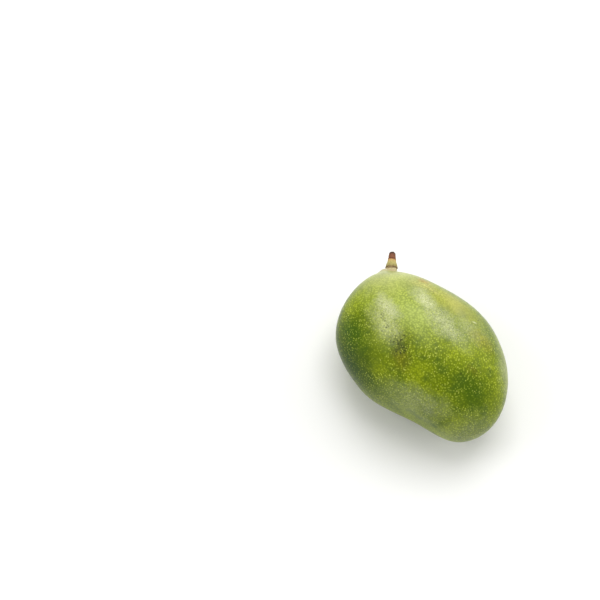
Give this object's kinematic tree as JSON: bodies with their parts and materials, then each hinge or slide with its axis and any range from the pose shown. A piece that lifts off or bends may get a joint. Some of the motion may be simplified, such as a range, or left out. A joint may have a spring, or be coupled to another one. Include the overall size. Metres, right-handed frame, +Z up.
{
  "type": "mango",
  "caption": "Whole unripe green mango lying on its lower cheek, an uneven egg with a hollow above its beak, with the stub of its stalk in a low collar at the top end",
  "frame": {"origin": "middle of the footprint of the whole part's box, on the surface it lies on", "axes": "+X runs along the fruit towards the stalk end, +Y towards its belly and beak side, +Z up out of its upper cheek"},
  "size_m": [0.1136, 0.0792, 0.0662],
  "materials": {
    "skin": "smooth green fruit skin, waxy bloom over satin, pale dots",
    "stalk": "dry woody stalk, yellow-green foot and brown end"
  },
  "bodies": {
    "root": {"fruit": "skin", "stalk": "stalk"}
  },
  "joints": []
}
